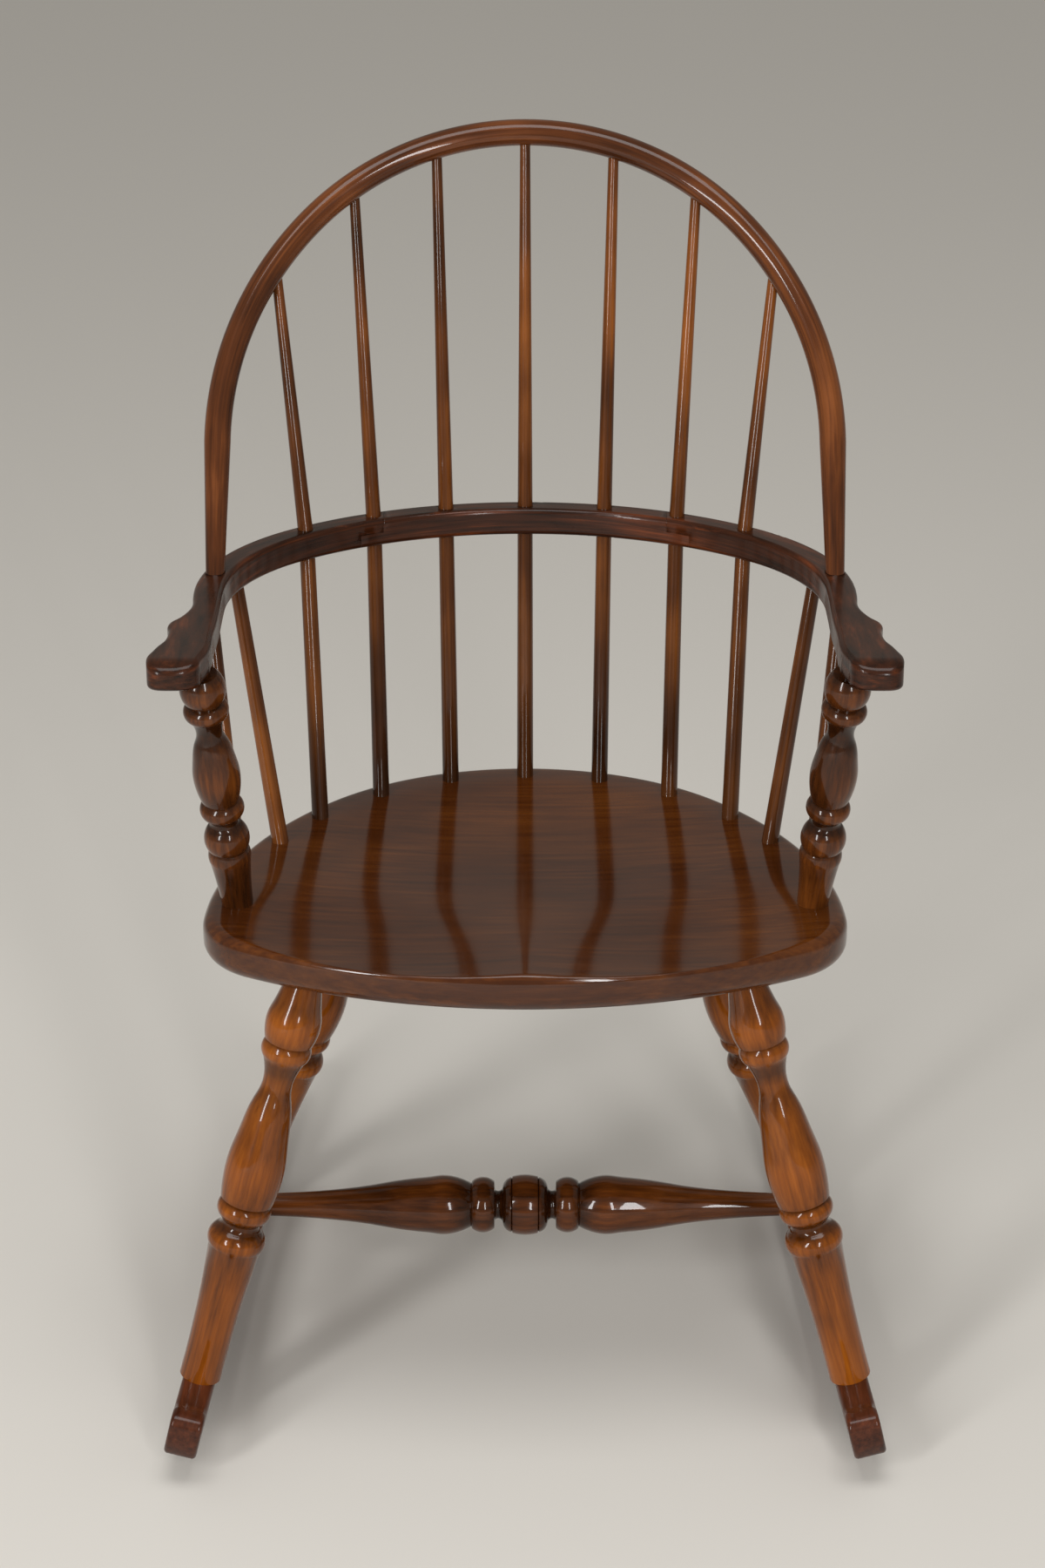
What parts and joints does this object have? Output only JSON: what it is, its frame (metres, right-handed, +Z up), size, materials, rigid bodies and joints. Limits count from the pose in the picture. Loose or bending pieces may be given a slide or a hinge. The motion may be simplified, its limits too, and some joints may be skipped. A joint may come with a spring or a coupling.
{
  "type": "windsor rocking chair",
  "caption": "Child's sack-back windsor rocking chair in dark lacquered wood, with a bent bow, turned legs, saddled seat and curved rockers.",
  "frame": {"origin": "on the floor, midway between the rockers' tips and between the two rockers", "axes": "+Z up, -Y the way the sitter faces, +X to the right of someone who looks at its front"},
  "size_m": [0.4386, 0.4687, 0.7406],
  "materials": {
    "bow": "gloss lacquer over a reddish brown stain, fine dark streaks along the bend",
    "spindles": "gloss lacquer over a dark brown stain, amber where it has worn",
    "arms": "gloss lacquer over a dark reddish brown stain",
    "seat": "polished gloss lacquer over a dark brown stain",
    "turnings": "gloss lacquer over an amber brown stain, darker in the turned grooves",
    "rockers": "gloss lacquer over a dark reddish brown stain"
  },
  "bodies": {
    "root": {"arm_left": "arms", "arm_post_left": "turnings", "arm_post_right": "turnings", "arm_right": "arms", "back_rail": "arms", "bow": "bow", "centre_stretcher": "turnings", "front_leg_left": "turnings", "front_leg_right": "turnings", "long_spindle_1": "spindles", "long_spindle_2": "spindles", "long_spindle_3": "spindles", "long_spindle_4": "spindles", "long_spindle_5": "spindles", "long_spindle_6": "spindles", "long_spindle_7": "spindles", "rear_leg_left": "turnings", "rear_leg_right": "turnings", "rocker_left": "rockers", "rocker_right": "rockers", "seat": "seat", "short_spindle_front_left": "spindles", "short_spindle_front_right": "spindles", "short_spindle_rear_left": "spindles", "short_spindle_rear_right": "spindles", "side_stretcher_left": "turnings", "side_stretcher_right": "turnings"}
  },
  "joints": []
}
